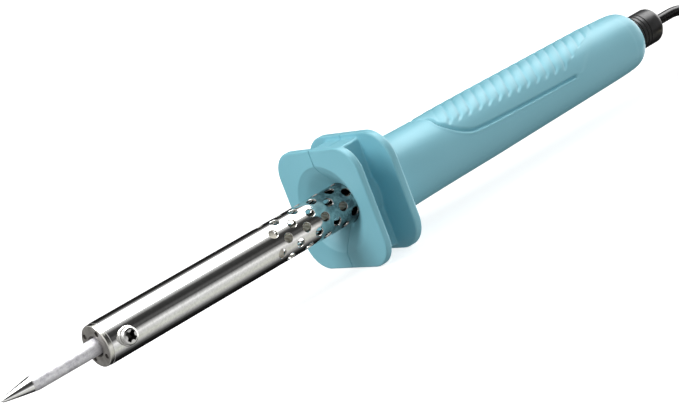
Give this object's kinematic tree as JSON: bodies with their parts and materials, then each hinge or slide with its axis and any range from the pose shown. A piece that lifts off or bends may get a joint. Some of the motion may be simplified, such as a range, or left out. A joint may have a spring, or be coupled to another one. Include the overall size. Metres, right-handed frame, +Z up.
{
  "type": "soldering iron",
  "caption": "Pencil-grip mains soldering iron: conical bit clamped by a screw in a perforated chrome barrel, double square guard, ribbed two-part handle, grommet and wound cord with plug.",
  "frame": {"origin": "on the resting surface, below the middle of the iron's length from the bit's point to the grommet's end, under the iron's axis", "axes": "+X along the iron from the bit towards the cord, +Z up along the seam of the handle shells, the clamp screw faces -Y"},
  "size_m": [0.4037, 0.0563, 0.0385],
  "materials": {
    "tip_plating": "polished point, pale plated and mottled shank",
    "nose_steel": "satin",
    "barrel_chrome": "polished nickel plate",
    "screw_steel": "bright plated",
    "ceramic": "unglazed ceramic",
    "heater_wire": "oxidised resistance wire",
    "mica": "pearly sheet",
    "glass_sleeving": "braided glass fibre",
    "crimp_metal": "tinned",
    "core_brown": "satin insulation",
    "core_blue": "satin insulation",
    "clamp_plastic": "moulded",
    "dark_screw": "black oxide",
    "grommet_rubber": "satin moulded rubber",
    "handle_plastic": "satin moulded plastic, pale sky blue",
    "cord_black": "satin sheath",
    "tie_black": "woven hook and loop strap",
    "plug_black": "moulded",
    "blade_brass": "nickel plated brass"
  },
  "bodies": {
    "iron": {"nose_cap": "nose_steel", "barrel": "barrel_chrome", "heater_former": "ceramic", "heater_winding": "heater_wire", "mica_sleeve": "mica", "rear_bead": "ceramic", "barrel_collar": "nose_steel", "live_lead": "heater_wire", "neutral_lead": "heater_wire", "live_sleeving": "glass_sleeving", "neutral_sleeving": "glass_sleeving", "live_crimp": "crimp_metal", "neutral_crimp": "crimp_metal", "live_core": "core_brown", "neutral_core": "core_blue", "cord_entry": "cord_black", "cord_clamp": "clamp_plastic", "cord_clamp_screws": "dark_screw", "cord_grommet": "grommet_rubber", "handle_left": "handle_plastic", "handle_right": "handle_plastic", "handle_screws": "dark_screw", "cord": "cord_black", "cord_coil": "cord_black", "cord_tie": "tie_black", "plug_body": "plug_black", "plug_blades": "blade_brass"},
    "bit": {"soldering_tip": "tip_plating"},
    "washer": {"screw_washer": "screw_steel"},
    "screw": {"clamp_screw": "screw_steel"}
  },
  "joints": [
    {"name": "bit_slide", "type": "slide", "parent": "iron", "child": "bit", "axis": [-1, 0, 0], "range_m": [0, 0.032]},
    {"name": "washer_slide", "type": "slide", "parent": "iron", "child": "washer", "axis": [0, -1, 0], "range_m": [0, 0.0015]},
    {"name": "screw_turn", "type": "hinge", "parent": "washer", "child": "screw", "pos_m": [-0.1001, -0.0078, 0.01925], "axis": [0, -1, 0], "range_deg": [0, 1080]}
  ],
  "couplings": [
    {"joint": "screw_turn", "follows": "washer_slide", "rad_per_m": 12566}
  ]
}
